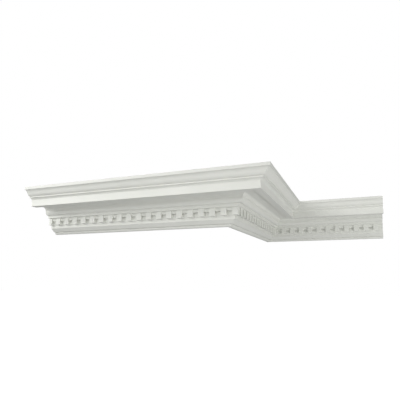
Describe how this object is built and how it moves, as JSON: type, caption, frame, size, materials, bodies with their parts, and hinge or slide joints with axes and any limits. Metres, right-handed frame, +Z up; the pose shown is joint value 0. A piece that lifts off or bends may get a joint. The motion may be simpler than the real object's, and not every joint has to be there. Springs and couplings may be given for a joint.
{
  "type": "dentil moulding",
  "caption": "Cornice moulding with a row of dentils, carried round an outer and an inner wall corner and cut square at both ends.",
  "frame": {"origin": "middle of the front length's wall face", "axes": "+Z up, +Y into the wall behind the front length, +X along the wall from the front length towards the wall length"},
  "size_m": [1.0115, 0.6859, 0.13],
  "materials": {
    "front_length": "matt off-white primer on moulded rigid foam",
    "return_length": "matt off-white primer on moulded rigid foam",
    "wall_length": "matt off-white primer on moulded rigid foam"
  },
  "bodies": {
    "root": {"front_length": "front_length", "return_length": "return_length", "wall_length": "wall_length"}
  },
  "joints": []
}
